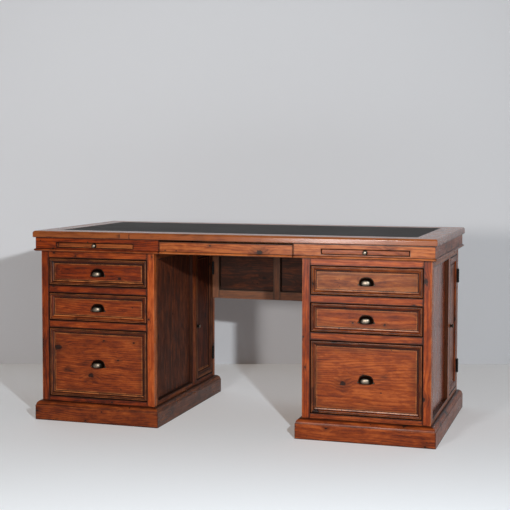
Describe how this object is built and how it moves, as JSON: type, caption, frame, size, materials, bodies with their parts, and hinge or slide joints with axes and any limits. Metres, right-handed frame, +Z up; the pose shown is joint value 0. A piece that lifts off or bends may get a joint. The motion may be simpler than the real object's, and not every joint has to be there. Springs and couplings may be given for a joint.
{
  "type": "writing desk with drawers",
  "caption": "Pedestal writing desk in framed pine: leather-inset top, moulded apron with pull-out slides and centre drawer, drawer stacks with cup pulls, side cupboards.",
  "frame": {"origin": "on the floor under the centre of the desk", "axes": "+X along the desk's length to the sitter's right-hand side as seen from the front, +Y from the drawer fronts to the back, +Z up"},
  "size_m": [1.65, 0.8043, 0.78],
  "materials": {
    "pine": "stained knotty pine under a worn satin varnish",
    "top_pine": "stained knotty pine under a smooth satin varnish",
    "inner_pine": "plain unfinished pine",
    "leather": "charcoal writing leather, fine grain, satin",
    "brass": "antique brass, darkened, bright on the high spots",
    "iron": "black lacquered butt hinges, satin"
  },
  "bodies": {
    "desk": {"top_frame_front": "top_pine", "top_frame_rear": "top_pine", "top_frame_left": "top_pine", "top_frame_right": "top_pine", "top_core": "inner_pine", "leather_inset": "leather", "apron_front_left": "pine", "apron_front_right": "pine", "apron_left": "pine", "apron_right": "pine", "apron_rear": "pine", "frieze_guide_left": "inner_pine", "frieze_guide_right": "inner_pine", "modesty_panel": "pine", "left_plinth": "pine", "left_face_frame": "pine", "left_door_side_frame": "pine", "left_door_side_panel": "pine", "left_plain_side": "pine", "left_back": "pine", "left_inner_case": "inner_pine", "right_plinth": "pine", "right_face_frame": "pine", "right_door_side_frame": "pine", "right_door_side_panel": "pine", "right_plain_side": "pine", "right_back": "pine", "right_inner_case": "inner_pine"},
    "left_top_drawer": {"left_top_drawer_front": "pine", "left_top_drawer_box": "inner_pine", "left_top_drawer_pull": "brass"},
    "left_middle_drawer": {"left_middle_drawer_front": "pine", "left_middle_drawer_box": "inner_pine", "left_middle_drawer_pull": "brass"},
    "left_bottom_drawer": {"left_bottom_drawer_front": "pine", "left_bottom_drawer_box": "inner_pine", "left_bottom_drawer_pull": "brass"},
    "right_top_drawer": {"right_top_drawer_front": "pine", "right_top_drawer_box": "inner_pine", "right_top_drawer_pull": "brass"},
    "right_middle_drawer": {"right_middle_drawer_front": "pine", "right_middle_drawer_box": "inner_pine", "right_middle_drawer_pull": "brass"},
    "right_bottom_drawer": {"right_bottom_drawer_front": "pine", "right_bottom_drawer_box": "inner_pine", "right_bottom_drawer_pull": "brass"},
    "centre_drawer": {"centre_drawer_front": "pine", "centre_drawer_box": "inner_pine"},
    "left_writing_slide": {"writing_slide_left": "pine", "slide_knob_left": "brass"},
    "right_writing_slide": {"writing_slide_right": "pine", "slide_knob_right": "brass"},
    "left_door": {"left_door": "pine", "left_door_knob": "brass", "left_door_hinge_upper": "iron", "left_door_hinge_lower": "iron"},
    "right_door": {"right_door": "pine", "right_door_knob": "brass", "right_door_hinge_upper": "iron", "right_door_hinge_lower": "iron"}
  },
  "joints": [
    {"name": "left_top_drawer_slide", "type": "slide", "parent": "desk", "child": "left_top_drawer", "axis": [0, -1, 0], "range_m": [0, 0.36]},
    {"name": "left_middle_drawer_slide", "type": "slide", "parent": "desk", "child": "left_middle_drawer", "axis": [0, -1, 0], "range_m": [0, 0.36]},
    {"name": "left_bottom_drawer_slide", "type": "slide", "parent": "desk", "child": "left_bottom_drawer", "axis": [0, -1, 0], "range_m": [0, 0.36]},
    {"name": "right_top_drawer_slide", "type": "slide", "parent": "desk", "child": "right_top_drawer", "axis": [0, -1, 0], "range_m": [0, 0.36]},
    {"name": "right_middle_drawer_slide", "type": "slide", "parent": "desk", "child": "right_middle_drawer", "axis": [0, -1, 0], "range_m": [0, 0.36]},
    {"name": "right_bottom_drawer_slide", "type": "slide", "parent": "desk", "child": "right_bottom_drawer", "axis": [0, -1, 0], "range_m": [0, 0.36]},
    {"name": "centre_drawer_slide", "type": "slide", "parent": "desk", "child": "centre_drawer", "axis": [0, -1, 0], "range_m": [0, 0.3]},
    {"name": "left_writing_slide_travel", "type": "slide", "parent": "desk", "child": "left_writing_slide", "axis": [0, -1, 0], "range_m": [0, 0.3]},
    {"name": "right_writing_slide_travel", "type": "slide", "parent": "desk", "child": "right_writing_slide", "axis": [0, -1, 0], "range_m": [0, 0.3]},
    {"name": "left_door_hinge", "type": "hinge", "parent": "desk", "child": "left_door", "pos_m": [-0.3, 0.33175, 0], "axis": [0, 0, 1], "range_deg": [0, 85]},
    {"name": "right_door_hinge", "type": "hinge", "parent": "desk", "child": "right_door", "pos_m": [0.807, 0.33175, 0], "axis": [0, 0, 1], "range_deg": [0, 110]}
  ]
}
